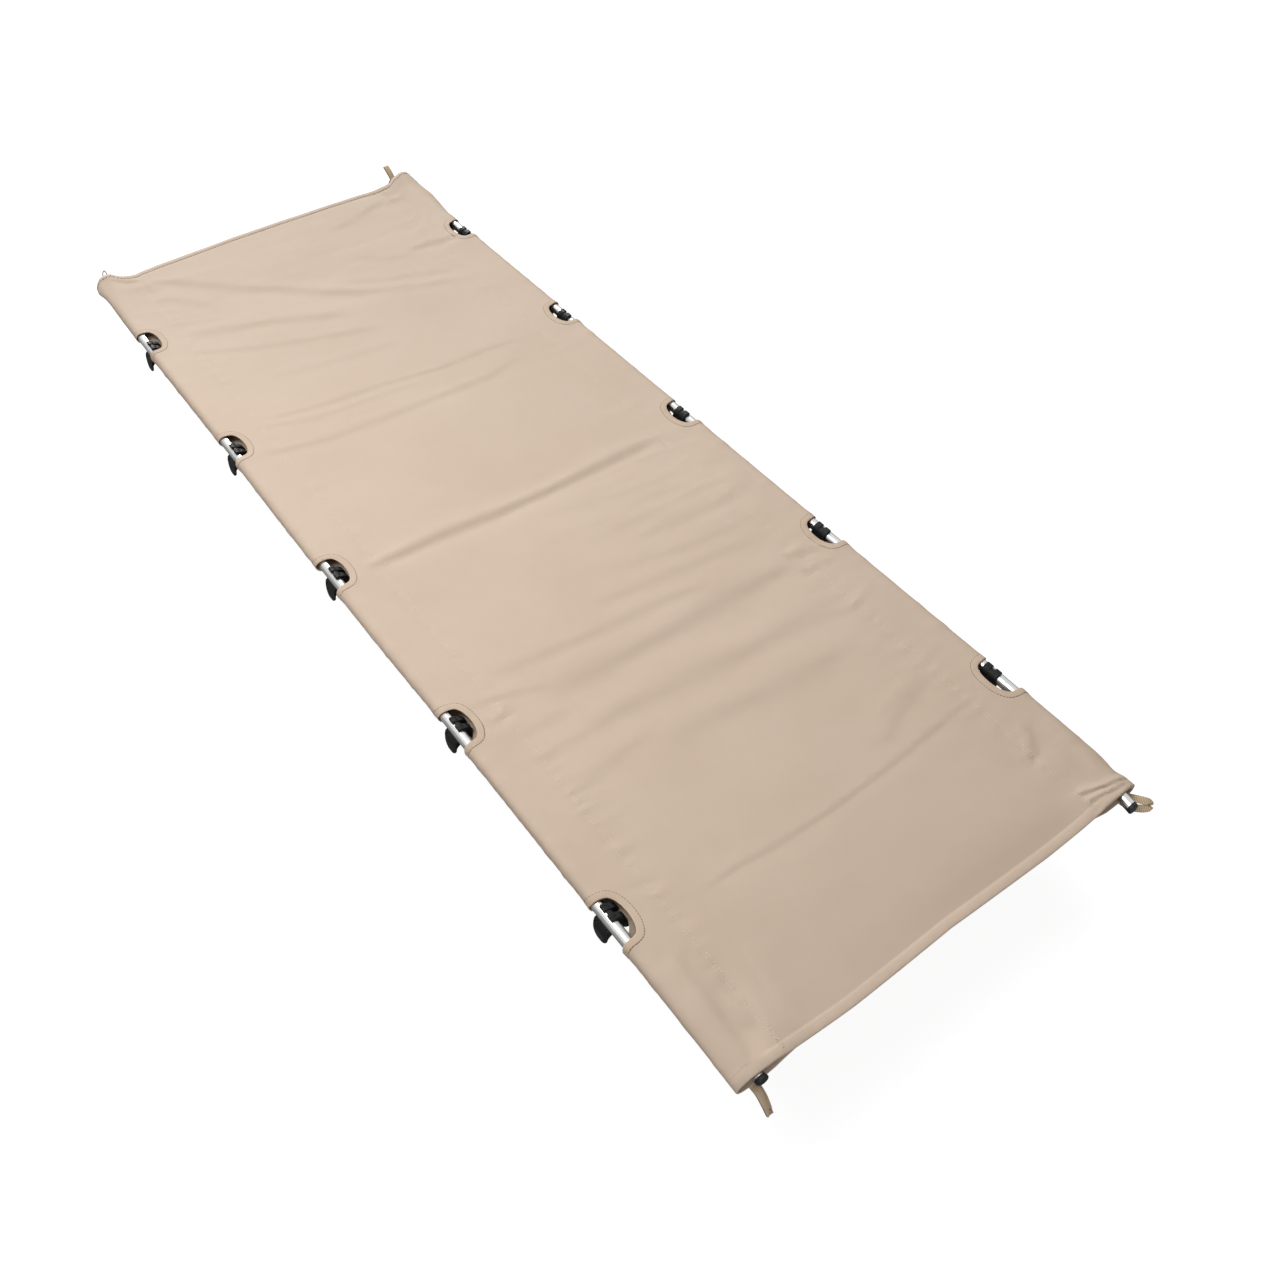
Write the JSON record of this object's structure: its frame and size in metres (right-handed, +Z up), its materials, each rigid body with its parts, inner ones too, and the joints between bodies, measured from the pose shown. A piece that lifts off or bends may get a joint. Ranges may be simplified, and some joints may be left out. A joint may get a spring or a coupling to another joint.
{
  "type": "camping cot",
  "caption": "Low camping cot: a taut cloth with sleeved long edges on two tube side poles, held up by bowed cross legs whose clips hook the poles in side notches.",
  "frame": {"origin": "on the floor, under the middle of the cot", "axes": "+Y along the cot towards its far end, +X across it towards the side without levers, +Z up"},
  "size_m": [0.6516, 1.9442, 0.1515],
  "materials": {
    "cover": "woven, matte",
    "loop": "ribbed webbing",
    "pole": "satin",
    "cap": "moulded",
    "bow": "satin",
    "arm": "satin",
    "foot": "moulded",
    "clip": "moulded",
    "lever": "moulded"
  },
  "bodies": {
    "frame_and_cover": {"cover": "cover", "pull_loop_left_near": "loop", "pole_cap_left_near": "cap", "pull_loop_right_near": "loop", "pole_cap_right_near": "cap", "pull_loop_left_far": "loop", "pole_cap_left_far": "cap", "pull_loop_right_far": "loop", "pole_cap_right_far": "cap", "pole_left_1": "pole", "clip_left_1": "clip", "arm_left_1": "arm", "foot_left_1": "foot", "pole_left_2": "pole", "clip_left_2": "clip", "arm_left_2": "arm", "foot_left_2": "foot", "pole_left_3": "pole", "clip_left_3": "clip", "arm_left_3": "arm", "foot_left_3": "foot", "pole_left_4": "pole", "clip_left_4": "clip", "arm_left_4": "arm", "foot_left_4": "foot", "pole_left_5": "pole", "clip_left_5": "clip", "arm_left_5": "arm", "foot_left_5": "foot", "pole_right_1": "pole", "clip_right_1": "clip", "arm_right_1": "arm", "foot_right_1": "foot", "pole_right_2": "pole", "clip_right_2": "clip", "arm_right_2": "arm", "foot_right_2": "foot", "pole_right_3": "pole", "clip_right_3": "clip", "arm_right_3": "arm", "foot_right_3": "foot", "pole_right_4": "pole", "clip_right_4": "clip", "arm_right_4": "arm", "foot_right_4": "foot", "pole_right_5": "pole", "clip_right_5": "clip", "arm_right_5": "arm", "foot_right_5": "foot", "bow_tube_1": "bow", "bow_tube_2": "bow", "bow_tube_3": "bow", "bow_tube_4": "bow", "bow_tube_5": "bow"},
    "lever_body_1": {"lever_1": "lever"},
    "lever_body_2": {"lever_2": "lever"},
    "lever_body_3": {"lever_3": "lever"},
    "lever_body_4": {"lever_4": "lever"},
    "lever_body_5": {"lever_5": "lever"}
  },
  "joints": [
    {"name": "lever_1_hinge", "type": "hinge", "parent": "frame_and_cover", "child": "lever_body_1", "pos_m": [-0.321, -0.689, 0.1275], "axis": [0, 1, 0], "range_deg": [0, 110]},
    {"name": "lever_2_hinge", "type": "hinge", "parent": "frame_and_cover", "child": "lever_body_2", "pos_m": [-0.321, -0.3445, 0.1275], "axis": [0, 1, 0], "range_deg": [0, 110]},
    {"name": "lever_3_hinge", "type": "hinge", "parent": "frame_and_cover", "child": "lever_body_3", "pos_m": [-0.321, 0, 0.1275], "axis": [0, 1, 0], "range_deg": [0, 110]},
    {"name": "lever_4_hinge", "type": "hinge", "parent": "frame_and_cover", "child": "lever_body_4", "pos_m": [-0.321, 0.3445, 0.1275], "axis": [0, 1, 0], "range_deg": [0, 110]},
    {"name": "lever_5_hinge", "type": "hinge", "parent": "frame_and_cover", "child": "lever_body_5", "pos_m": [-0.321, 0.689, 0.1275], "axis": [0, 1, 0], "range_deg": [0, 110]}
  ]
}
